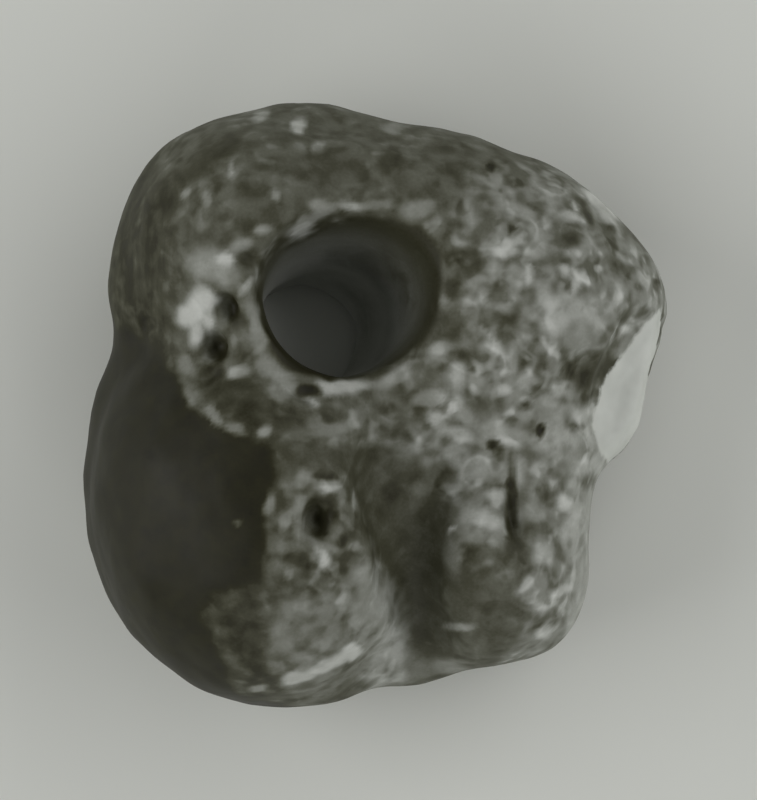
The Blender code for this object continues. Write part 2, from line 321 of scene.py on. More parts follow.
PALE_MARKS_AND_PAINTED_LIGHT: tuple[Mark, ...] = (
    # The white patch left of the hole.
    Mark(-28.0, 15.5, 6.5, 4.5, 75, 0.63),
    Mark(-29.5, 14.0, 4.0, 4.0, 0, 0.61),
    Mark(-26.5, 16.5, 3.5, 2.5, 0, 0.62),
    Mark(-28.0, 11.0, 4.5, 2.5, 80, 0.6),
    Mark(-26.0, 13.5, 2.0, 4.0, 0, 0.58),
    Mark(-25.5, 22.0, 8.0, 6.5, -20, 0.47),
    Mark(-23.5, 23.0, 2.0, 3.0, 80, 0.6),
    Mark(-20.0, 19.0, 3.5, 1.5, 50, 0.47),
    Mark(-17.0, 19.0, 2.0, 4.5, 10, 0.46),
    Mark(-21.0, 25.5, 4.0, 2.0, 20, 0.44),
    # The pale arc that runs under the pits.
    Mark(-29.5, 6.5, 4.0, 2.5, -60, 0.41),
    Mark(-28.5, 2.0, 4.5, 2.5, -62, 0.37),
    Mark(-25.5, -1.5, 4.0, 2.0, -40, 0.4),
    Mark(-22.0, -3.5, 4.0, 2.0, -20, 0.36),
    Mark(-17.5, -4.0, 2.5, 2.0, 0, 0.48),
    Mark(-21.5, 5.5, 4.5, 2.0, 10, 0.49),
    # The bright rim along the lower left of the hole: painted light where light falls on its lip.
    Mark(-18.5, 12.0, 2.5, 12.0, 10, 0.42),
    Mark(-16.0, 5.5, 3.0, 6.5, 40, 0.43),
    Mark(-14.0, 3.5, 6.5, 2.0, -42, 0.46),
    Mark(-10.5, 0.5, 3.5, 1.5, -10, 0.64),
    Mark(-5.0, 3.0, 9.5, 2.5, 2, 0.58),
    Mark(4.0, 5.0, 8.0, 2.5, 24, 0.5),
    Mark(-6.5, -3.5, 9.5, 2.0, 8, 0.42),
    # The brow, above the hole.
    # The first one paints light on the top lip of the hole, where it rounds into the wall.
    Mark(-11.5, 28.0, 5.5, 2.5, 38, 0.52),
    Mark(-18.0, 27.5, 3.0, 1.5, 0, 0.48),
    Mark(-16.0, 33.0, 2.0, 1.5, -20, 0.46),
    Mark(-8.0, 30.5, 6.0, 2.0, 22, 0.41),
    Mark(0.0, 31.5, 6.0, 1.5, 0, 0.4),
    Mark(-4.0, 31.5, 4.0, 1.5, -8, 0.5),
    Mark(-9.0, 31.5, 3.0, 2.0, 0, 0.44),
    Mark(6.5, 31.0, 5.5, 3.0, 10, 0.44),
    Mark(2.5, 43.5, 4.0, 2.0, -15, 0.44),
    Mark(-12.0, 44.0, 2.5, 2.5, 0, 0.58),
    Mark(-18.0, 45.5, 3.0, 2.0, 30, 0.48),
    Mark(-9.0, 40.5, 2.5, 2.0, -30, 0.49),
    Mark(-29.5, 33.5, 1.5, 1.5, 0, 0.44),
    Mark(-26.5, 32.5, 1.5, 3.0, 0, 0.42),
    Mark(-22.5, 37.0, 1.0, 2.0, 0, 0.44),
    # The shoulder, from the brow down to the chip.
    Mark(35.5, 32.0, 9.0, 3.0, -50, 0.62),
    Mark(15.0, 30.5, 1.5, 4.0, 0, 0.48),
    Mark(23.0, 30.5, 4.0, 2.0, -25, 0.47),
    Mark(30.0, 29.5, 4.0, 2.0, 10, 0.54),
    Mark(24.0, 26.5, 3.5, 2.0, 10, 0.48),
    Mark(20.5, 24.0, 4.5, 2.0, 0, 0.58),
    Mark(24.0, 21.0, 1.5, 4.0, 0, 0.58),
    Mark(29.5, 21.5, 2.0, 2.0, 0, 0.56),
    Mark(31.5, 19.0, 1.5, 2.5, 0, 0.54),
    Mark(28.0, 14.5, 5.5, 8.0, 0, 0.54),
    Mark(33.5, 14.5, 6.5, 5.5, 0, 0.52),
    Mark(37.5, 16.5, 1.5, 3.5, -20, 0.56),
    Mark(39.0, 12.0, 2.0, 1.5, 10, 0.58),
    Mark(31.5, 10.5, 5.5, 4.0, 0, 0.5),
    # Right of the hole.
    Mark(16.5, 17.0, 1.5, 2.5, -40, 0.5),
    Mark(11.0, 16.5, 1.5, 1.5, 0, 0.42),
    Mark(11.0, 12.5, 2.0, 2.0, 0, 0.44),
    Mark(14.0, 14.5, 1.5, 1.5, 0, 0.45),
    Mark(15.5, 10.0, 5.5, 1.5, 66, 0.54),
    Mark(18.5, 10.0, 6.0, 1.5, -52, 0.56),
    Mark(10.0, 9.0, 4.0, 2.5, 30, 0.54),
    Mark(13.0, 4.5, 2.5, 5.5, 0, 0.56),
    Mark(10.0, 1.5, 2.5, 2.0, 0, 0.54),
    Mark(12.0, 0.0, 2.0, 2.0, 0, 0.6),
    Mark(8.0, 1.5, 4.5, 2.5, 10, 0.46),
    Mark(9.5, -2.0, 2.0, 2.0, 0, 0.52),
    Mark(13.0, -4.5, 4.5, 2.5, -15, 0.55),
    Mark(16.0, -9.5, 4.5, 3.0, 20, 0.5),
    # The flank below the chip.
    Mark(21.5, 5.0, 2.0, 5.5, -8, 0.54),
    Mark(28.5, 2.5, 2.0, 3.0, 0, 0.54),
    Mark(24.0, 2.5, 1.5, 2.5, 0, 0.5),
    Mark(32.5, -1.5, 4.5, 3.0, 0, 0.52),
    Mark(34.5, -4.0, 3.0, 5.5, -20, 0.56),
    Mark(31.0, -5.5, 3.5, 4.5, 0, 0.52),
    Mark(33.0, -9.0, 8.0, 4.5, -10, 0.52),
    Mark(27.0, -1.5, 4.5, 6.5, 0, 0.5),
    Mark(21.5, -9.0, 4.0, 4.0, 0, 0.49),
    Mark(35.5, -9.0, 3.0, 5.5, 0, 0.56),
    Mark(36.0, -4.5, 3.0, 8.0, -10, 0.52),
    Mark(28.0, -5.5, 4.5, 4.0, 0, 0.51),
    Mark(19.5, -4.0, 2.0, 3.0, 0, 0.5),
    Mark(31.0, -13.0, 3.0, 4.0, 0, 0.52),
    # The right foot.
    Mark(31.0, -18.5, 4.0, 6.5, 0, 0.55),
    Mark(31.0, -23.5, 3.0, 4.5, 0, 0.5),
    Mark(31.0, -27.5, 4.0, 4.0, 0, 0.5),
    Mark(17.5, -17.5, 7.0, 3.5, -15, 0.58),
    Mark(19.0, -14.5, 2.0, 3.0, 0, 0.58),
    Mark(20.5, -11.5, 2.0, 1.5, 0, 0.54),
    Mark(12.0, -19.5, 1.5, 1.0, 0, 0.6),
    Mark(29.5, -15.0, 2.5, 3.0, 0, 0.62),
    Mark(26.0, -23.5, 4.0, 3.5, 0, 0.52),
    Mark(29.0, -29.0, 4.0, 2.0, 20, 0.6),
    Mark(26.0, -31.5, 3.0, 2.5, 0, 0.52),
    Mark(29.0, -32.5, 1.5, 1.5, 0, 0.54),
    Mark(26.5, -35.5, 3.0, 2.0, 30, 0.6),
    Mark(25.0, -38.5, 4.0, 1.5, 20, 0.48),
    Mark(13.5, -34.5, 5.5, 1.5, 2, 0.45),
    Mark(12.0, -23.0, 3.0, 6.5, 0, 0.36),
    Mark(13.5, -23.5, 1.5, 1.5, 0, 0.46),
    Mark(11.5, -41.0, 6.5, 2.5, 0, 0.42),
    # Round the eye, and the dark skin and the valley beside it.
    Mark(-7.0, -12.5, 3.0, 2.0, -20, 0.54),
    Mark(-11.5, -11.5, 3.0, 4.0, -20, 0.45),
    Mark(-16.5, -15.5, 2.0, 3.0, 0, 0.44),
    Mark(-14.0, -18.0, 2.0, 2.5, 0, 0.44),
    Mark(-12.0, -17.5, 2.0, 6.5, 0, 0.42),
    Mark(-8.5, -23.5, 2.0, 4.0, 30, 0.52),
    Mark(-13.5, -26.5, 1.5, 1.5, 0, 0.42),
    Mark(-21.5, -18.5, 1.5, 1.5, 0, 0.3),
    Mark(7.0, -13.0, 3.0, 3.0, 0, 0.33),
    # The low end of the left lobe: its white streak and its lit flank.
    Mark(-2.5, -32.5, 4.0, 5.0, 0, 0.46),
    Mark(-0.5, -30.5, 3.5, 8.0, 12, 0.46),
    Mark(2.5, -37.5, 4.0, 6.5, 0, 0.53),
    Mark(0.5, -40.0, 2.0, 4.0, 0, 0.47),
    Mark(7.0, -41.5, 4.0, 3.0, 0, 0.37),
    Mark(-4.0, -38.5, 3.0, 2.5, 20, 0.68),
    Mark(-7.5, -40.5, 10.5, 2.0, 27, 0.62),
    Mark(-12.5, -42.5, 4.5, 2.0, 20, 0.6),
    Mark(-18.5, -44.0, 3.0, 1.5, 10, 0.46),
)
DARK_MARKS_AND_PAINTED_SHADE: tuple[Mark, ...] = (
    # In the pits, in the slot and round them: painted shade in these hollows.
    Mark(-19.0, 23.0, 2.5, 2.5, 0, 0.25),
    Mark(-22.0, 14.5, 2.5, 6.0, 8, 0.19),
    Mark(-24.5, 9.0, 3.5, 4.0, 0, 0.19),
    Mark(-25.5, 5.5, 4.0, 2.5, 0, 0.2),
    Mark(-36.0, 13.0, 3.5, 3.0, 0, 0.18),
    Mark(-10.5, 2.5, 4.0, 2.0, 0, 0.16),
    Mark(-12.5, 1.0, 7.0, 2.0, -25, 0.31),
    Mark(-8.5, -17.0, 4.5, 7.0, 0, 0.22),
    Mark(21.5, -15.5, 2.0, 15.5, 2, 0.205),
    Mark(26.0, -4.0, 1.5, 2.5, 0, 0.2),
    Mark(18.5, -6.0, 2.5, 2.0, 0, 0.22),
    Mark(18.0, 37.5, 1.5, 1.5, 0, 0.2),
    Mark(21.5, 28.0, 1.5, 1.5, 0, 0.26),
    # The brow and the left edge, whose dark is partly its skin and partly painted shade away from the light.
    Mark(-8.5, 37.5, 14.0, 5.5, 0, 0.27),
    Mark(2.5, 38.5, 4.5, 4.5, 0, 0.23),
    Mark(-33.0, 33.5, 4.0, 4.0, 0, 0.2),
    Mark(-26.5, 38.5, 12.0, 4.5, 35, 0.24),
    Mark(-37.0, 37.0, 4.5, 9.5, -20, 0.22),
    # The shoulder.
    Mark(17.0, 31.5, 4.5, 4.5, 0, 0.33),
    Mark(29.5, 26.0, 5.5, 2.5, 0, 0.28),
    Mark(32.0, 31.5, 9.0, 1.5, -58, 0.27),
    Mark(35.0, 28.0, 6.5, 1.5, -8, 0.34),
    Mark(40.5, 26.0, 5.5, 3.0, -30, 0.37),
    Mark(38.0, 21.0, 3.0, 3.5, 0, 0.34),
    Mark(42.5, 18.0, 2.0, 4.5, -20, 0.42),
    Mark(39.0, 14.0, 3.5, 1.5, 40, 0.3),
    Mark(19.5, 17.5, 4.0, 3.0, 0, 0.3),
    Mark(21.0, 12.0, 4.5, 7.5, 0, 0.33),
    Mark(26.5, 6.0, 3.5, 4.5, 0, 0.32),
    # Right of the hole and under it.
    Mark(10.0, 29.5, 4.5, 2.0, 0, 0.32),
    Mark(12.0, 12.5, 4.5, 6.5, 0, 0.28),
    Mark(14.5, 9.0, 6.5, 5.0, 20, 0.33),
    Mark(7.0, 5.5, 4.0, 2.5, 0, 0.33),
    Mark(10.5, 6.0, 1.5, 1.5, 0, 0.28),
    Mark(24.0, 0.0, 1.5, 1.5, 0, 0.28),
    Mark(17.5, 0.0, 5.5, 4.5, 0, 0.33),
    # The valley and the right foot; in the valley and the foot's shade these are partly painted shade.
    Mark(-11.0, -20.5, 8.0, 1.5, 70, 0.31),
    Mark(-13.0, -24.0, 3.0, 2.0, 0, 0.24),
    Mark(2.5, -13.5, 3.0, 3.5, 0, 0.19),
    Mark(10.0, -10.0, 4.5, 3.5, 0, 0.28),
    Mark(23.5, -13.5, 2.0, 3.0, 0, 0.34),
    Mark(26.5, -13.5, 3.0, 4.0, 0, 0.3),
    Mark(24.5, -20.0, 2.0, 4.0, 0, 0.3),
    Mark(22.0, -23.0, 6.0, 4.5, 0, 0.27),
    Mark(17.0, -23.0, 4.0, 3.0, 0, 0.27),
    Mark(15.0, -24.0, 4.5, 1.5, -20, 0.26),
    Mark(21.0, -28.0, 4.0, 3.5, 0, 0.28),
    Mark(21.0, -31.5, 4.5, 3.0, 0, 0.27),
    Mark(16.5, -36.5, 4.5, 2.0, 0, 0.26),
)
# Grey stains on the chip, along the edge of the stone.
CHIP_STAINS: tuple[Mark, ...] = (
    Mark(45.0, 11.0, 1.5, 11.0, -14, 0.42),
    Mark(43.5, 5.5, 2.0, 8.0, -18, 0.34),
)

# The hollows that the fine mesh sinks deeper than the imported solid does, or wears.
PITS: Mapping[str, Pit] = {
    "lip_pit": Pit(-19.3, 22.9, 3.6, 3.2, 0, 0.2, wear=0.12),
    "tall_pit": Pit(-22.7, 14.6, 5.6, 3.6, 100, 0.0, wear=0.09),
    "round_pit": Pit(-24.6, 9.3, 4.6, 4.2, 80, 0.0, wear=0.08),
    "eye_pit": Pit(-8.7, -16.8, 6.6, 4.4, 93, 0.0, wear=0.16),
    "slot": Pit(21.4, -16.3, 14.0, 3.0, 92, 0.0, wear=0.2),
    "collar_gap": Pit(-10.1, 2.8, 4.2, 2.2, -10, 0.2, wear=0.1),
    "left_spot": Pit(-35.8, 12.9, 3.4, 3.0, 0, 0.5),
    "shoulder_pit_upper": Pit(21.7, 28.2, 1.6, 1.6, 0, 0.35),
    "shoulder_pit_lower": Pit(26.0, -4.1, 1.8, 2.4, 0, 0.45),
    "flank_pit": Pit(18.3, -5.8, 2.6, 2.0, 0, 0.45),
    "brow_pit": Pit(18.0, 37.5, 1.5, 1.5, 0, 0.3),
}


@dataclass(frozen=True)
class Bore:
    """The slanting hole: its free way, and the painted light and shade of its mouth and its wall."""

    # The height above the table, and the middle's X and Y and the radius of the free way there.
    levels: tuple[tuple[float, float, float, float], ...] = (
        (-2.0, -13.4, 10.2, 10.6),
        (6.0, -12.0, 10.8, 9.0),
        (18.0, -8.8, 12.6, 9.5),
        (30.0, -6.2, 15.2, 11.0),
        (38.0, -4.7, 16.3, 12.2),
        (46.0, -3.3, 16.8, 13.4),
    )
    # The height and the wall's tone there: paler low down, painted light where little light reaches,
    # and darker near the mouth, painted shade.
    tones: tuple[tuple[float, float], ...] = ((18.0, 0.62), (26.0, 0.45), (33.0, 0.3), (44.0, 0.14))
    # What counts as the wall: skin this near the free way, and as steep as this.
    wall: Span = (2.2, 1.4)
    steepness: Span = (0.62, 0.3)
    # The heights over which the drawn outline of the mouth's painted shade takes over,
    # and how soft its edge is.
    mouth: Span = (29.0, 35.0)
    mouth_edge: float = 0.6
    fleck_loss: float = 0.9

    def tone(self, height: np.ndarray) -> np.ndarray:
        """The wall's tone at each height: painted light low down and painted shade near the mouth."""
        heights, tones = np.array(self.tones).T
        return np.interp(height, heights, tones)

    def cover(self, points: np.ndarray, normals: np.ndarray, places: np.ndarray) -> np.ndarray:
        """How far inside the hole and its painted shade at the mouth each point of the skin is.

        Args:
            points: The points, in metres.
            normals: The normals at the points.
            places: Where the points are seen on the face.

        Returns:
            One number for each point, from 0 on the face to 1 on the hole's wall.
        """
        heights, xs, ys, radii = np.array(self.levels).T
        z = points[:, 2] / MM
        gap_x = points[:, 0] / MM - np.interp(z, heights, xs)
        gap_y = points[:, 1] / MM - np.interp(z, heights, ys)
        beyond = np.hypot(gap_x, gap_y) - np.interp(z, heights, radii)
        wall = smooth_step(*self.wall, beyond) * smooth_step(*self.steepness, np.abs(normals[:, 2]))
        shade = smooth_step(-self.mouth_edge, self.mouth_edge, signed_distance(places, SHADE_OUTLINE))
        return wall + (shade - wall) * smooth_step(*self.mouth, z)


@dataclass(frozen=True)
class Chip:
    """The fresh chip on the right shoulder: a flat floor with faint ripples, and pale stone laid bare."""

    # The ellipse that the chip ends in down the side of the stone, in Y and Z, seen from the right.
    side: Spot = Spot(2.5, 25.0, 31.0, 25.0, -12.0)
    sunk: float = 0.35
    ripple: float = 0.07
    ripple_rate: float = 2.4
    tone: float = 0.68
    fleck_loss: float = 0.7
    # How far inside the chip its floor, its ripples and its pale stone set in.
    floor_edge: Span = (-0.4, 0.5)
    ripple_edge: Span = (0.4, 2.0)
    tone_edge: Span = (-0.3, 0.5)
    # The stains keep to the rim of the stone, above these heights, and push the chip's edge back.
    stain_heights: Span = (17.0, 19.5)
    stain_push: float = 4.0

    def inside(self, points: np.ndarray, places: np.ndarray) -> np.ndarray:
        """How far inside the chip's edge each point is, below zero outside it."""
        below = (1.0 - self.side.reach(points[:, 1:] / MM)) * self.side.width / 2.0
        return np.minimum(signed_distance(places, CHIP_OUTLINE), below)

    def depth(self, inside: np.ndarray) -> np.ndarray:
        """How deep the chip is, this far inside its edge."""
        ripples = smooth_step(*self.ripple_edge, inside) * self.ripple * np.sin(inside * self.ripple_rate)
        return smooth_step(*self.floor_edge, inside) * self.sunk + ripples


@dataclass(frozen=True)
class Back:
    """The skin of the sides and the underside, which no zone covers: slow changes of tone and mottling."""

    tone: float = 0.29
    slow: Drift = Drift(22.0, 6.6, 0.07)
    quick: Drift = Drift(7.0, 2.2, 0.03)
    flecks: float = 0.55
    busy: Drift = Drift(14.0, 8.1, 0.35)


@dataclass(frozen=True)
class Texture:
    """Noise in a material: the real width of its features, and how much finer noise lies over them."""

    width: float
    detail: float
    roughness: float = 0.5

    def inputs(self, place: Socket) -> dict[str, Any]:
        """What a noise node gets for this texture."""
        scale = 1.0 / (self.width * MM)
        return {"Vector": place, "Scale": scale, "Detail": self.detail, "Roughness": self.roughness}


@dataclass(frozen=True)
class Pattern(Texture):
    """A texture with a soft switch between two of its levels.

    One that is folded at its middle level makes threads in loops and not blobs.
    """

    levels: Span = (0.0, 1.0)
    folded: bool = False

    def build(self, tree: Tree, place: Socket) -> Socket:
        """Adds the pattern to a material.

        Args:
            tree: The material's tree.
            place: The place on the stone.

        Returns:
            The pattern, from 0 to 1.
        """
        level = add_node(tree, NOISE, self.inputs(place))
        if self.folded:
            level = add_node(tree, MATH, (level, 0.5), operation="SUBTRACT")
            level = add_node(tree, MATH, (level,), operation="ABSOLUTE")
        low, high = self.levels
        ends = {"Value": level, "From Min": low, "From Max": high}
        return add_node(tree, SWITCH, ends, interpolation_type="SMOOTHSTEP")


@dataclass(frozen=True)
class WeatheredFlint:
    """Weathered flint: a smooth, nearly black skin under patches of pale chalky rind, rolled by water.

    The eye gets a soft satin on the dark skin and a dry, mealy surface where the rind is left.
    The grain of the rind is finer than a camera sees from here, so it is drawn as coarse as shows.
    """

    name: str = "weathered_flint"
    # The colour at each tone of the skin.
    scale: tuple[tuple[float, str], ...] = (
        (0.10, "#1F1E12"),
        (0.18, "#2A2917"),
        (0.25, "#454536"),
        (0.32, "#616256"),
        (0.45, "#8D8F87"),
        (0.60, "#BCBEB8"),
        (0.80, "#E6E8E3"),
    )
    # The chip's white goes from one of these to the other in clouds.
    chalk: tuple[str, str] = ("#BCBFB8", "#DEE1DB")
    chalk_clouds: Texture = Texture(5.0, 2.0)
    ior: float = 1.54
    gloss: float = 0.20
    # The tones of bare skin and of full rind, and how rough each is.
    rind_tones: Span = (0.15, 0.5)
    roughness: Span = (0.5, 0.85)
    # The patterns of the mottling, and how much each lightens the skin.
    clouds: Pattern = Pattern(2.9, 0.6, 0.6, (0.30, 0.70))
    flecks: Pattern = Pattern(2.3, 0.4, 0.6, (0.50, 0.74))
    threads: Pattern = Pattern(4.6, 0.3, 0.6, (0.09, 0.0), folded=True)
    spots: Pattern = Pattern(3.0, 0.6, 0.6, (0.42, 0.26))
    busy: Pattern = Pattern(8.0, 1.0, 0.6, (0.36, 0.60))
    cloud_gain: float = 0.155
    fleck_gain: float = 0.14
    thread_gain: float = 0.06
    spot_gain: float = -0.075
    ground: float = -0.05
    # The share of the flecks that a quiet stretch keeps, and what a busy one adds to it.
    quiet_flecks: float = 0.3
    busy_flecks: float = 0.8
    warp: Texture = Texture(5.5, 1.5)
    warp_reach: float = 1.6
    streaks: Texture = Texture(1.5, 2.0, 0.6)
    streak_stretch: tuple[float, float, float] = (1.0, 0.16, 0.4)
    streak_gain: float = 0.20
    grain: Texture = Texture(0.5, 2.0)
    grain_gain: float = 0.05
    # The chip's edge: how soft it is, and how far and how finely it wanders.
    chip_edge: float = 0.35
    ragged: Texture = Texture(1.1, 3.0)
    ragged_reach: float = 1.2
    # The relief: its mealy grain, how far the rind stands proud, and how much more that counts than grain.
    meal: Texture = Texture(0.5, 4.0, 0.6)
    bump_height: float = 0.06
    bump_strength: float = 0.5
    rind_height: float = 1.2

    def build(self) -> bpy.types.Material:
        """Makes the material.

        Returns:
            A node material that reads the skin's tone, flecks, streaks and chip.
        """
        material = bpy.data.materials.new(self.name)
        material.use_nodes = True
        tree = material.node_tree
        tree.nodes.clear()
        where = add_node(tree, "ShaderNodeTexCoord", out="Object")
        tone = self._tone(tree, where)
        ends = {"From Min": self.rind_tones[0], "From Max": self.rind_tones[1]}
        ends |= {"To Min": self.roughness[0], "To Max": self.roughness[1]}
        dressing = {
            "Base Color": self._colour(tree, where, tone),
            "Roughness": add_node(tree, SWITCH, {"Value": tone} | ends),
            "Normal": self._bump(tree, where, tone),
            "IOR": self.ior,
            "Specular IOR Level": self.gloss,
            "Metallic": 0.0,
        }
        surface = add_node(tree, "ShaderNodeBsdfPrincipled", dressing)
        add_node(tree, "ShaderNodeOutputMaterial", {"Surface": surface})
        return material

    def _mottling(self, tree: Tree, where: Socket) -> Socket:
        """Adds clouds, pale flecks, pale threads and dark spots, none of which runs straight.

        Args:
            tree: The material's tree.
            where: The place on the stone.

        Returns:
            How much lighter than its zone the skin is, where its zone is fully mottled.
        """
        push = add_node(tree, NOISE, self.warp.inputs(where), "Color")
        push = add_node(tree, VECTOR_MATH, (push, (0.5, 0.5, 0.5)), operation="SUBTRACT")
        reach = (self.warp_reach * MM,) * 3
        place = add_node(tree, VECTOR_MATH, (push, reach, where), operation="MULTIPLY_ADD")
        busy = self.busy.build(tree, place)
        share = add_node(tree, MATH, (busy, self.busy_flecks, self.quiet_flecks), operation="MULTIPLY_ADD")
        flecks = add_node(tree, MATH, (self.flecks.build(tree, place), share), operation="MULTIPLY")
        threads = add_node(tree, MATH, (self.threads.build(tree, place), busy), operation="MULTIPLY")
        layers = (
            (self.clouds.build(tree, place), self.cloud_gain),
            (flecks, self.fleck_gain),
            (threads, self.thread_gain),
            (self.spots.build(tree, place), self.spot_gain),
        )
        total = self.ground - 0.5 * self.cloud_gain
        for layer, gain in layers:
            total = add_node(tree, MATH, (layer, gain, total), operation="MULTIPLY_ADD")
        return total

    def _tone(self, tree: Tree, where: Socket) -> Socket:
        """Adds the mottling, the streaks and the grain to the tone that the skin carries.

        Args:
            tree: The material's tree.
            where: The place on the stone.

        Returns:
            The tone that is seen.
        """
        carried = {
            name: add_node(tree, "ShaderNodeAttribute", out="Fac", attribute_name=name)
            for name in ("tone", "flecks", "streaks")
        }
        terms = (self._mottling(tree, where), carried["flecks"], carried["tone"])
        tone = add_node(tree, MATH, terms, operation="MULTIPLY_ADD")
        stretched = add_node(tree, "ShaderNodeMapping", {"Vector": where, "Scale": self.streak_stretch})
        streaks = add_node(tree, NOISE, self.streaks.inputs(stretched))
        streaks = add_node(tree, MATH, (streaks, 0.5), operation="SUBTRACT")
        strength = add_node(tree, MATH, (carried["streaks"], self.streak_gain), operation="MULTIPLY")
        tone = add_node(tree, MATH, (streaks, strength, tone), operation="MULTIPLY_ADD")
        grain = add_node(tree, NOISE, self.grain.inputs(where))
        terms = (grain, self.grain_gain, -0.5 * self.grain_gain)
        grain = add_node(tree, MATH, terms, operation="MULTIPLY_ADD")
        return add_node(tree, MATH, (tone, grain), operation="ADD")

    def _colour(self, tree: Tree, where: Socket, tone: Socket) -> Socket:
        """Adds the colours of the skin's tones, and the chalky white inside the chip's ragged edge.

        Args:
            tree: The material's tree.
            where: The place on the stone.
            tone: The tone that is seen.

        Returns:
            The base colour.
        """
        skin = add_node(tree, "ShaderNodeValToRGB", {"Fac": tone})
        stops = skin.node.color_ramp.elements
        while len(stops) < len(self.scale):
            stops.new(0.5)
        for stop, (position, code) in zip(stops, self.scale):
            stop.position = position
            stop.color = linear(code)
        ragged = add_node(tree, NOISE, self.ragged.inputs(where))
        terms = (ragged, self.ragged_reach, -0.5 * self.ragged_reach)
        ragged = add_node(tree, MATH, terms, operation="MULTIPLY_ADD")
        chip = add_node(tree, "ShaderNodeAttribute", out="Fac", attribute_name="chip")
        edge = add_node(tree, MATH, (chip, ragged), operation="ADD")
        ends = {"Value": edge, "From Min": -self.chip_edge, "From Max": self.chip_edge}
        chipped = add_node(tree, SWITCH, ends, interpolation_type="SMOOTHSTEP")
        clouds = add_node(tree, NOISE, self.chalk_clouds.inputs(where))
        whites = {"Factor": clouds, "A": linear(self.chalk[0]), "B": linear(self.chalk[1])}
        chalk = add_node(tree, MIX, whites, "Result", data_type="RGBA")
        return add_node(tree, MIX, {"Factor": chipped, "A": skin, "B": chalk}, "Result", data_type="RGBA")

    def _bump(self, tree: Tree, where: Socket, tone: Socket) -> Socket:
        """Adds the fine relief: rind that stands a little proud of the skin, and its grain.

        Args:
            tree: The material's tree.
            where: The place on the stone.
            tone: The tone that is seen.

        Returns:
            The normal.
        """
        mealy = add_node(tree, NOISE, self.meal.inputs(where))
        mealy = add_node(tree, MATH, (mealy, tone), operation="MULTIPLY")
        height = add_node(tree, MATH, (tone, self.rind_height, mealy), operation="MULTIPLY_ADD")
        relief = {"Height": height, "Strength": self.bump_strength, "Distance": self.bump_height * MM}
        return add_node(tree, "ShaderNodeBump", relief)


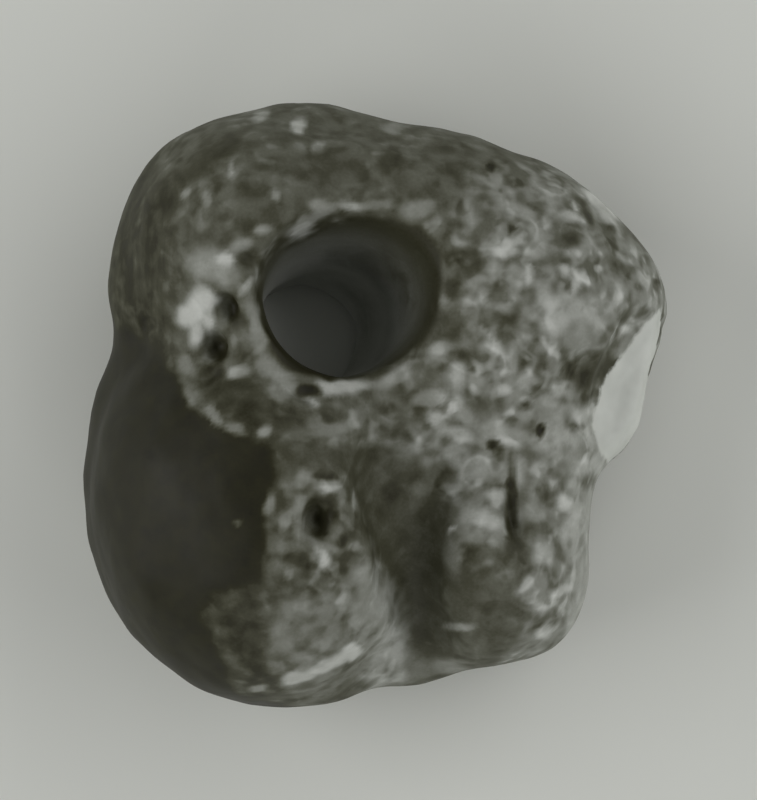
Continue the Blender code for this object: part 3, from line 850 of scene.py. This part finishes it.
@dataclass(frozen=True)
class SkinRelief:
    """The small relief of the worn skin, by geometry nodes: slow swells, grain and scattered pinholes."""

    swell_width: float = 6.5
    swell_height: float = 0.34
    swell_detail: float = 1.0
    grain_width: float = 1.9
    grain_height: float = 0.11
    grain_detail: float = 3.0
    roughness: float = 0.55
    pinhole_gap: float = 3.0
    pinhole_radius: float = 0.95
    pinhole_depth: float = 0.17
    # The smallest pinhole's share of the full radius and depth.
    smallest_pinhole: float = 0.35
    # More than fit, in points a square metre, so that the gap between them sets how many there are.
    pinhole_density: float = 4.0e5
    seed: int = 7

    def apply(self, piece: bpy.types.Object, material: bpy.types.Material) -> None:
        """Roughens a piece and leaves it a plain mesh.

        Args:
            piece: The piece, with its rind and free numbers on its points.
            material: The material that the piece gets.
        """
        lengths = {
            "Swell Width": self.swell_width * MM,
            "Swell Height": self.swell_height * MM,
            "Grain Width": self.grain_width * MM,
            "Grain Height": self.grain_height * MM,
            "Pinhole Gap": self.pinhole_gap * MM,
            "Pinhole Radius": self.pinhole_radius * MM,
            "Pinhole Depth": self.pinhole_depth * MM,
        }
        step = piece.modifiers.new("worn_skin", "NODES")
        step.node_group = self._tree(lengths)
        given = lengths | {"Seed": self.seed, "Material": material}
        for socket in step.node_group.interface.items_tree:
            if socket.item_type == "SOCKET" and socket.name in given:
                step[socket.identifier] = given[socket.name]
        made_plain(piece)

    def _tree(self, lengths: Mapping[str, float]) -> bpy.types.GeometryNodeTree:
        """Makes the tree.

        Args:
            lengths: The named inputs that are lengths.

        Returns:
            A tree that moves the skin in and out and stores how deep in a pinhole each point is.
        """
        tree = bpy.data.node_groups.new("worn_skin", "GeometryNodeTree")
        kinds = {"Geometry": "Geometry"} | dict.fromkeys(lengths, "Float")
        kinds |= {"Seed": "Int", "Material": "Material"}
        for name, kind in kinds.items():
            tree.interface.new_socket(name, in_out="INPUT", socket_type=f"NodeSocket{kind}")
        tree.interface.new_socket("Geometry", in_out="OUTPUT", socket_type="NodeSocketGeometry")
        given = add_node(tree, "NodeGroupInput").node.outputs
        where = add_node(tree, "GeometryNodeInputPosition")
        rind, free = (
            add_node(tree, "GeometryNodeInputNamedAttribute", {"Name": name}, data_type="FLOAT")
            for name in ("rind", "free")
        )
        rises = {}
        for name, detail in (("Swell", self.swell_detail), ("Grain", self.grain_detail)):
            rate = add_node(tree, MATH, (1.0, given[f"{name} Width"]), operation="DIVIDE")
            inputs = {"Vector": where, "Scale": rate, "Detail": detail, "Roughness": self.roughness}
            bumps = add_node(tree, MATH, (add_node(tree, NOISE, inputs), 0.5), operation="SUBTRACT")
            rises[name] = add_node(tree, MATH, (bumps, given[f"{name} Height"]), operation="MULTIPLY")
        grain = add_node(tree, MATH, (rises["Grain"], rind), operation="MULTIPLY")
        bowl = add_node(tree, MATH, (self._bowls(tree, where, given, rind), rind), operation="MULTIPLY")
        depth = add_node(tree, MATH, (bowl, given["Pinhole Depth"]), operation="MULTIPLY")
        rise = add_node(tree, MATH, (rises["Swell"], grain), operation="ADD")
        rise = add_node(tree, MATH, (rise, depth), operation="SUBTRACT")
        rise = add_node(tree, MATH, (rise, free), operation="MULTIPLY")
        push = {0: add_node(tree, "GeometryNodeInputNormal"), "Scale": rise}
        push = add_node(tree, VECTOR_MATH, push, operation="SCALE")
        skin = add_node(tree, "GeometryNodeSetPosition", {"Geometry": given["Geometry"], "Offset": push})
        noted = {"Geometry": skin, "Name": "pinhole", "Value": bowl}
        skin = add_node(tree, "GeometryNodeStoreNamedAttribute", noted, data_type="FLOAT", domain="POINT")
        skin = add_node(tree, "GeometryNodeRealizeInstances", {"Geometry": skin})
        skin = add_node(tree, "GeometryNodeSetMaterial", {"Geometry": skin, "Material": given["Material"]})
        add_node(tree, "NodeGroupOutput", {"Geometry": skin})
        return tree

    def _bowls(self, tree: Tree, where: Socket, given: Mapping[str, Socket], rind: Socket) -> Socket:
        """Scatters pinholes of many sizes over the rind.

        Args:
            tree: The tree.
            where: The place of each point.
            given: The tree's named inputs.
            rind: How much of the rind is left at each point.

        Returns:
            How deep in a pinhole each point is, from 0 to 1.
        """
        scatter = {
            "Mesh": given["Geometry"],
            "Distance Min": given["Pinhole Gap"],
            "Density Max": self.pinhole_density,
            "Density Factor": rind,
            "Seed": given["Seed"],
        }
        holes = add_node(tree, "GeometryNodeDistributePointsOnFaces", scatter, distribute_method="POISSON")
        nearest = add_node(tree, "GeometryNodeSampleNearest", {"Geometry": holes}, domain="POINT")
        sizes = {"Min": self.smallest_pinhole, "Max": 1.0, "Seed": given["Seed"]}
        sizes = add_node(tree, "FunctionNodeRandomValue", sizes, "Value", data_type="FLOAT")
        size, middle = (
            add_node(
                tree,
                "GeometryNodeSampleIndex",
                {"Geometry": holes, "Value": value, "Index": nearest},
                "Value",
                data_type=kind,
                domain="POINT",
            )
            for value, kind in ((sizes, "FLOAT"), (where, "FLOAT_VECTOR"))
        )
        gap = add_node(tree, VECTOR_MATH, (where, middle), "Value", operation="DISTANCE")
        radius = add_node(tree, MATH, (size, given["Pinhole Radius"]), operation="MULTIPLY")
        reach = add_node(tree, MATH, (gap, radius), operation="DIVIDE")
        reach = add_node(tree, MATH, (reach, reach), operation="MULTIPLY")
        bowl = add_node(tree, MATH, (1.0, reach), operation="SUBTRACT")
        bowl = add_node(tree, MATH, (bowl, 0.0), operation="MAXIMUM")
        return add_node(tree, MATH, (bowl, size), operation="MULTIPLY")


def made_plain(piece: bpy.types.Object) -> bpy.types.Object:
    """Replaces a piece's mesh with what its modifiers make of it, and removes them.

    Args:
        piece: The piece.

    Returns:
        The same piece.
    """
    bpy.context.view_layer.update()
    graph = bpy.context.evaluated_depsgraph_get()
    made = bpy.data.meshes.new_from_object(piece.evaluated_get(graph))
    piece.modifiers.clear()
    old, piece.data = piece.data, made
    bpy.data.meshes.remove(old)
    return piece


def read(items: bpy.types.bpy_prop_collection, name: str, width: int, kind: type = np.float32) -> np.ndarray:
    """Reads one property of all of a mesh's points, edges or normals.

    Args:
        items: The points, the edges or the normals.
        name: The property's name.
        width: How many numbers the property has.
        kind: The type of the numbers.

    Returns:
        The numbers, one item a row.
    """
    flat = np.empty(len(items) * width, kind)
    items.foreach_get(name, flat)
    return flat.reshape(-1, width)


def read_skin(mesh: bpy.types.Mesh) -> tuple[np.ndarray, np.ndarray]:
    """The mesh's points, in metres, and the normals at them, one a row."""
    return read(mesh.vertices, "co", 3).astype(float), read(mesh.vertex_normals, "vector", 3).astype(float)


def write_points(mesh: bpy.types.Mesh, points: np.ndarray) -> None:
    """Moves the mesh's points."""
    mesh.vertices.foreach_set("co", points.astype(np.float32).ravel())
    mesh.update()


def store(mesh: bpy.types.Mesh, name: str, values: np.ndarray) -> None:
    """Keeps one number for each point of the mesh, for a material or geometry nodes to read."""
    kept = mesh.attributes.get(name) or mesh.attributes.new(name, "FLOAT", "POINT")
    kept.data.foreach_set("value", values.astype(np.float32))


@dataclass
class StoneSkin:
    """The whole nodule at full detail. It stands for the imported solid."""

    grid: float = 0.66
    merge_gap: float = 0.002
    smoothing: float = 0.5
    facet_rounding: int = 7
    # The hole's lip is worn rounder on one side: how often it is smoothed, where its middle is and which
    # way from there the worn side lies, in degrees, and the ring, the side and the heights that it takes in.
    lip_rounding: int = 70
    lip_middle: Point = (-3.0, 16.8)
    worn_side: float = 55.0
    lip_inner: Span = (9.0, 11.5)
    lip_outer: Span = (20.0, 15.0)
    lip_side: Span = (-0.35, 0.45)
    lip_heights: Span = (30.0, 36.0)
    least_wear: float = 0.01
    # How far out from its middle, in its half sizes, a pit's edge is worn, a pit is sunk and a mark shows.
    pit_wear: Span = (1.9, 1.2)
    pit_floor: Span = (1.15, 0.45)
    mark_edge: Span = (1.4, 0.45)
    # The heights and the slopes at which skin starts to count as the face.
    pit_heights: Span = (12.0, 20.0)
    pit_slope: Span = (0.0, 0.35)
    mark_slope: Span = (-0.05, 0.15)
    face_heights: Span = (11.0, 19.0)
    face_drift: Drift = Drift(9.0, 4.4, 4.0)
    # Two noises push the edges about on the face, and each kind of edge takes a share of each.
    loose: tuple[Drift, Drift] = (Drift(5.0, 3.1), Drift(5.0, 9.7))
    fine: tuple[Drift, Drift] = (Drift(1.9, 5.3), Drift(1.9, 1.9))
    zone_push: tuple[float, float] = (1.0, 0.6)
    mark_push: tuple[float, float] = (0.5, 0.4)
    pit_push: float = 0.6
    mouth_push: float = 0.3
    face_flecks: float = 0.4
    mark_fleck_loss: float = 0.4
    least_rind: float = 0.12
    foot_heights: Span = (0.2, 1.6)
    # Creases get painted shade and ridges are lighter, by how far a point stands out from its neighbours.
    ridge_range: Span = (-0.25, 0.35)
    crease_shade_and_ridge_gain: float = -0.18
    # Pinholes get painted shade by how deep a point lies in one.
    pinhole_shade_gain: float = -0.05
    tone_range: Span = (0.08, 0.8)
    shaded_bore: Bore = field(default_factory=Bore)
    chip: Chip = field(default_factory=Chip)
    back: Back = field(default_factory=Back)
    relief: SkinRelief = field(default_factory=SkinRelief)
    finish: WeatheredFlint = field(default_factory=WeatheredFlint)

    def build(self) -> bpy.types.Object:
        """Makes the piece.

        Returns:
            The dressed nodule, a plain mesh at the origin.
        """
        piece = self._fine_copy(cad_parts["hag_stone"])
        self._wear_edges(piece)
        self._sink_hollows(piece.data)
        self._lay_tones(piece.data)
        self.relief.apply(piece, self.finish.build())
        self._paint_shade_in_hollows(piece.data)
        self._flatten_foot(piece.data)
        piece.data.shade_smooth()
        return piece

    def _fine_copy(self, solid: bpy.types.Object) -> bpy.types.Object:
        """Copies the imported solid, with its facets rounded off and its points close together.

        Args:
            solid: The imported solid's node.

        Returns:
            A new piece.
        """
        shape = bmesh.new()
        shape.from_mesh(solid.data)
        bmesh.ops.remove_doubles(shape, verts=shape.verts, dist=self.merge_gap * MM)
        mesh = bpy.data.meshes.new("flint_nodule")
        shape.to_mesh(mesh)
        shape.free()
        piece = bpy.data.objects.new("flint_nodule", mesh)
        bpy.context.scene.collection.objects.link(piece)
        rounder = piece.modifiers.new("round", "SUBSURF")
        rounder.levels = rounder.render_levels = 1
        remesh = piece.modifiers.new("remesh", "REMESH")
        remesh.mode = "VOXEL"
        remesh.voxel_size = self.grid * MM
        smooth = piece.modifiers.new("smooth", "SMOOTH")
        smooth.factor = self.smoothing
        smooth.iterations = self.facet_rounding
        return made_plain(piece)

    def _wear_edges(self, piece: bpy.types.Object) -> None:
        """Rounds the upper right half of the hole's lip, and a little the edges of the worn pits.

        Args:
            piece: The fine copy.
        """
        points, _ = read_skin(piece.data)
        height = points[:, 2] / MM
        gap = points[:, :2] / MM - np.array(self.lip_middle)
        reach = np.hypot(gap[:, 0], gap[:, 1])
        side = np.cos(np.arctan2(gap[:, 1], gap[:, 0]) - math.radians(self.worn_side))
        share = smooth_step(*self.lip_inner, reach) * smooth_step(*self.lip_outer, reach)
        share *= smooth_step(*self.lip_side, side) * smooth_step(*self.lip_heights, height)
        seen = self._seen_places(points)
        upper = smooth_step(*self.pit_heights, height)
        for pit in PITS.values():
            share = np.maximum(share, pit.wear * pit.cover(seen, self.pit_wear) * upper)
        group = piece.vertex_groups.new(name="worn_lip")
        for index in np.flatnonzero(share > self.least_wear):
            group.add([int(index)], float(share[index]), "REPLACE")
        wear = piece.modifiers.new("wear", "SMOOTH")
        wear.factor = self.smoothing
        wear.iterations = self.lip_rounding
        wear.vertex_group = group.name
        made_plain(piece)

    def _seen_places(self, points: np.ndarray) -> np.ndarray:
        """Where an eye straight above the face sees each point.

        Args:
            points: The points, in metres.

        Returns:
            Places on the face, one a row.
        """
        x, y, height = EYE
        nearness = (height - MID_HEIGHT) / (height - points[:, 2] / MM)
        return np.array((x, y)) + (points[:, :2] / MM - np.array((x, y))) * nearness[:, None]

    def _pushes(self, points: np.ndarray) -> tuple[np.ndarray, np.ndarray]:
        """Works out the loose and the fine push on each point's place.

        Args:
            points: The points, in metres.

        Returns:
            Both pushes, with one point a row.
        """
        loose = [drift.at(points) for drift in self.loose]
        fine = [drift.at(points) for drift in self.fine]
        return np.stack(loose, axis=1), np.stack(fine, axis=1)

    def _sink_hollows(self, mesh: bpy.types.Mesh) -> None:
        """Deepens the pits and the slot, with steeper walls than the solid has, and sinks the chip.

        Args:
            mesh: The stone's mesh.
        """
        points, normals = read_skin(mesh)
        _, fine = self._pushes(points)
        places = self._seen_places(points) + fine * self.pit_push
        upward = smooth_step(*self.pit_slope, normals[:, 2])
        sunk = np.zeros(len(points))
        for pit in PITS.values():
            sunk = np.maximum(sunk, pit.cover(places, self.pit_floor) * upward * pit.depth)
        sunk += self.chip.depth(self.chip.inside(points, places))
        write_points(mesh, points - normals * sunk[:, None] * MM)

    def _lay_tones(self, mesh: bpy.types.Mesh) -> None:
        """Gives each point its tone, mottling, streaks and rind, and its place by the chip and the foot.

        Args:
            mesh: The stone's mesh.
        """
        points, normals = read_skin(mesh)
        height = points[:, 2] / MM
        seen = self._seen_places(points)
        loose, fine = self._pushes(points)
        tone, flecks, streaks = self._zone_tones(seen + loose * self.zone_push[0] + fine * self.zone_push[1])
        marked = seen + loose * self.mark_push[0] + fine * self.mark_push[1]
        level = smooth_step(*self.mark_slope, normals[:, 2])
        # Some of the marks are painted light and painted shade, as their groups say.
        for mark in PALE_MARKS_AND_PAINTED_LIGHT + DARK_MARKS_AND_PAINTED_SHADE:
            cover = mark.cover(marked, self.mark_edge) * level
            tone += (mark.tone - tone) * cover
            flecks *= 1.0 - self.mark_fleck_loss * cover
        face = smooth_step(*self.face_heights, height + self.face_drift.at(points))
        back_tone = self.back.tone + self.back.slow.at(points) + self.back.quick.at(points)
        back_flecks = self.back.flecks + self.back.busy.at(points)
        tone = back_tone + (tone - back_tone) * face
        flecks = back_flecks + (flecks - back_flecks) * face
        # The hole's wall and mouth get the bore's painted light and painted shade.
        shaded_bore = self.shaded_bore.cover(points, normals, seen + fine * self.mouth_push)
        tone += (self.shaded_bore.tone(height) - tone) * shaded_bore
        flecks *= 1.0 - self.shaded_bore.fleck_loss * shaded_bore
        inside = self.chip.inside(points, seen)
        rim = smooth_step(*self.chip.stain_heights, height)
        for mark in CHIP_STAINS:
            cover = mark.cover(marked, self.mark_edge) * rim
            inside -= self.chip.stain_push * cover
            tone += (mark.tone - tone) * cover
        chipped = smooth_step(*self.chip.tone_edge, inside)
        rind = np.clip(self.least_rind + (1.0 - self.least_rind) * flecks, 0.0, 1.0)
        store(mesh, "tone", tone + (self.chip.tone - tone) * chipped)
        store(mesh, "flecks", flecks * (1.0 - self.chip.fleck_loss * chipped))
        store(mesh, "streaks", streaks * face)
        store(mesh, "chip", inside)
        store(mesh, "rind", rind * (1.0 - chipped) * (1.0 - shaded_bore))
        store(mesh, "free", smooth_step(*self.foot_heights, height))

    def _zone_tones(self, places: np.ndarray) -> tuple[np.ndarray, np.ndarray, np.ndarray]:
        """Lays the zones one over the other.

        Args:
            places: The pushed places of the points.

        Returns:
            The tone, the mottling and the streaks at each place.
        """
        tone = np.full(len(places), self.back.tone)
        flecks = np.full(len(places), self.face_flecks)
        streaks = np.zeros(len(places))
        for zone in ZONES_OF_SKIN_AND_PAINTED_LIGHT.values():
            cover = zone.cover(places)
            tone += (zone.tone - tone) * cover
            flecks += (zone.flecks - flecks) * cover
            streaks += (zone.streaks - streaks) * cover
        return tone, flecks, streaks

    def _paint_shade_in_hollows(self, mesh: bpy.types.Mesh) -> None:
        """Paints shade into pinholes and creases, and lightens ridges.

        Args:
            mesh: The stone's mesh, with its tones and pinholes.
        """
        points, normals = read_skin(mesh)
        edges = read(mesh.edges, "vertices", 2, np.int32)
        sums = np.zeros_like(points)
        counts = np.zeros(len(points))
        for near, far in ((0, 1), (1, 0)):
            np.add.at(sums, edges[:, near], points[edges[:, far]])
            np.add.at(counts, edges[:, near], 1.0)
        hollow = ((sums / counts[:, None] - points) * normals).sum(axis=1) / (self.grid * MM)
        tone, pinhole = (read(mesh.attributes[name].data, "value", 1)[:, 0] for name in ("tone", "pinhole"))
        # Painted shade in creases and pinholes, and lighter ridges.
        shift = np.clip(hollow, *self.ridge_range) * self.crease_shade_and_ridge_gain + pinhole * self.pinhole_shade_gain
        store(mesh, "tone", np.clip(tone + shift, *self.tone_range))

    def _flatten_foot(self, mesh: bpy.types.Mesh) -> None:
        """Keeps the flat spots underneath level with the table.

        Args:
            mesh: The stone's mesh.
        """
        points, _ = read_skin(mesh)
        points[:, 2] = np.maximum(points[:, 2], 0.0)
        write_points(mesh, points)


@dataclass(frozen=True)
class MattPaper:
    """Pale matt paper on the table: even, with hardly any sheen."""

    name: str = "matt_paper"
    colour: str = "#DDDFD9"
    roughness: float = 0.9
    gloss: float = 0.1

    def build(self) -> bpy.types.Material:
        """Makes the material.

        Returns:
            A plain material.
        """
        material = bpy.data.materials.new(self.name)
        material.use_nodes = True
        surface = material.node_tree.nodes["Principled BSDF"]
        surface.inputs["Base Color"].default_value = linear(self.colour)
        surface.inputs["Roughness"].default_value = self.roughness
        surface.inputs["Specular IOR Level"].default_value = self.gloss
        return material


@dataclass(frozen=True)
class Lamp:
    """A long soft light that faces the stone: its place, its length and breadth, and its power in watts."""

    name: str
    place: tuple[float, float, float]
    length: float
    power: float
    breadth: float = 0.95
    aim: tuple[float, float, float] = (0.0, 0.0, 0.02)

    def build(self) -> None:
        """Makes the light."""
        lamp = bpy.data.lights.new(self.name, "AREA")
        lamp.shape = "RECTANGLE"
        lamp.size = self.length
        lamp.size_y = self.breadth
        lamp.energy = self.power
        light = bpy.data.objects.new(self.name, lamp)
        bpy.context.scene.collection.objects.link(light)
        light.location = self.place
        light.rotation_euler = (Vector(self.aim) - Vector(self.place)).to_track_quat("-Z", "Y").to_euler()


@dataclass
class Studio:
    """The pale table, the soft lights and the camera straight above the face. Its lengths are metres."""

    table_size: float = 6.0
    paper: MattPaper = field(default_factory=MattPaper)
    room_colour: str = "#F6F6F4"
    room_strength: float = 0.13
    lamps: tuple[Lamp, ...] = (
        Lamp("key", (0.86, 0.24, 0.68), 2.0, 7.4),
        Lamp("fill", (-0.95, 0.0, 0.55), 1.0, 6.6),
        Lamp("far_side", (0.0, 0.95, 0.55), 1.0, 1.2),
        Lamp("near_side", (0.0, -0.95, 0.55), 1.0, 3.3),
    )
    # How much of the stone's middle height the frame takes in from top to bottom.
    view_height: float = 0.1254902
    nearest_seen: float = 0.01
    # In millimetres, as a camera takes it.
    sensor_width: float = 36.0

    def build(self) -> None:
        """Makes the table, the lights and the camera."""
        self._table()
        for lamp in self.lamps:
            lamp.build()
        self._room()
        self._camera()

    def _table(self) -> None:
        """Makes a plain table top that the stone lies on."""
        shape = bmesh.new()
        bmesh.ops.create_grid(shape, x_segments=1, y_segments=1, size=self.table_size / 2.0)
        mesh = bpy.data.meshes.new("table_top")
        shape.to_mesh(mesh)
        shape.free()
        table = bpy.data.objects.new("table_top", mesh)
        bpy.context.scene.collection.objects.link(table)
        mesh.materials.append(self.paper.build())

    def _room(self) -> None:
        """Makes the even light of a pale room."""
        room = bpy.data.worlds.new("room")
        room.use_nodes = True
        glow = room.node_tree.nodes["Background"]
        glow.inputs["Color"].default_value = linear(self.room_colour)
        glow.inputs["Strength"].default_value = self.room_strength
        scene = bpy.context.scene
        scene.world = room
        scene.view_settings.view_transform = "Standard"
        scene.view_settings.look = "None"

    def _camera(self) -> None:
        """Makes the camera, with a lens that takes the whole stone into a frame 757 by 800."""
        lens = bpy.data.cameras.new("camera")
        lens.sensor_fit = "AUTO"
        lens.sensor_width = self.sensor_width
        lens.lens = self.sensor_width * (EYE[2] - MID_HEIGHT) * MM / self.view_height
        lens.clip_start = self.nearest_seen
        camera = bpy.data.objects.new("camera", lens)
        bpy.context.scene.collection.objects.link(camera)
        camera.location = Vector(EYE) * MM
        bpy.context.scene.camera = camera


def main() -> None:
    """Builds the stone and the studio, and logs how many points and faces the stone has."""
    stone = StoneSkin().build()
    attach(stone, "root")
    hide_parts("hag_stone")
    log.info("%s has %d points and %d faces", stone.name, len(stone.data.vertices), len(stone.data.polygons))
    Studio().build()


if __name__ == "__main__":
    main()
